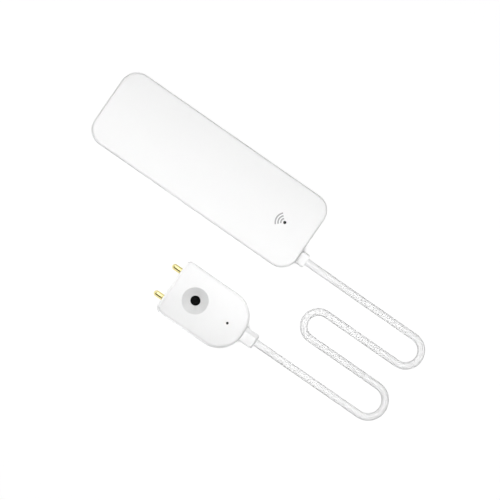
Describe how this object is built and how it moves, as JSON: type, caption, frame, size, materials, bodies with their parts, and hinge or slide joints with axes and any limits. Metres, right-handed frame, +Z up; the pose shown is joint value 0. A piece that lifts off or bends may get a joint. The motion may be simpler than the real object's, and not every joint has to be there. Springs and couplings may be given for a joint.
{
  "type": "water leak sensor",
  "caption": "White bar-shaped wireless water leak sensor with a lift-off cover over its cells and board, and a corded D-shaped probe with gold contact pins and a countersunk screw hole.",
  "frame": {"origin": "centre of the main unit's rear face, on the surface that the unit and the probe lie on", "axes": "+X along the main unit to its cord end, +Y across it away from the probe, +Z up out of the front cover"},
  "size_m": [0.1527, 0.0703, 0.016],
  "materials": {
    "white_shell": "fine satin white moulded plastic",
    "white_soft": "soft white cord sheath",
    "dark_lens": "smoked clear plastic",
    "cell_wrap": "printed film over a metal can",
    "spring_steel": "nickel-plated steel",
    "board_green": "solder mask",
    "board_dark": "solder mask",
    "led_body": "clear over white",
    "component_black": "moulded black",
    "connector_ivory": "moulded nylon",
    "lead_red": "wire insulation",
    "seal_grey": "silicone rubber",
    "gold_pin": "polished gold plate"
  },
  "bodies": {
    "base": {"rear_base": "white_shell", "main_gland": "white_soft", "bridge_plate": "spring_steel", "bridge_spring": "spring_steel", "positive_plate": "spring_steel", "negative_plate": "spring_steel", "negative_spring": "spring_steel", "main_board": "board_green", "radio_module": "board_dark", "radio_shield": "spring_steel", "status_led": "led_body", "board_components": "component_black", "pairing_switch": "component_black", "cord_socket": "connector_ivory", "cord_plug": "connector_ivory", "main_leads": "lead_red", "board_screws": "spring_steel", "sensor_cord": "white_soft", "probe_top": "white_shell", "probe_base": "white_shell", "probe_seal": "seal_grey", "probe_board": "board_green", "contact_pin_left": "gold_pin", "contact_pin_right": "gold_pin", "pin_seals": "seal_grey", "probe_led": "led_body", "probe_light_pipe": "dark_lens", "probe_boot": "white_soft", "probe_leads": "lead_red", "probe_screws": "spring_steel"},
    "cover": {"front_cover": "white_shell", "status_light_pipe": "dark_lens"},
    "first_cell": {"cell_a": "cell_wrap"},
    "second_cell": {"cell_b": "cell_wrap"},
    "button": {"pairing_button": "component_black"}
  },
  "joints": [
    {"name": "cover_lift", "type": "slide", "parent": "base", "child": "cover", "axis": [0, 0, 1], "range_m": [0, 0.04]},
    {"name": "first_cell_lift", "type": "slide", "parent": "base", "child": "first_cell", "axis": [0, 0, 1], "range_m": [0, 0.02]},
    {"name": "second_cell_lift", "type": "slide", "parent": "base", "child": "second_cell", "axis": [0, 0, 1], "range_m": [0, 0.02]},
    {"name": "pairing_press", "type": "slide", "parent": "base", "child": "button", "axis": [0, 0, -1], "range_m": [0, 0.00025], "stiffness_N_per_m": 6000}
  ],
  "couplings": [
    {"joint": "first_cell_lift", "follows": "cover_lift", "ratio": 0.5},
    {"joint": "second_cell_lift", "follows": "cover_lift", "ratio": 0.5}
  ]
}
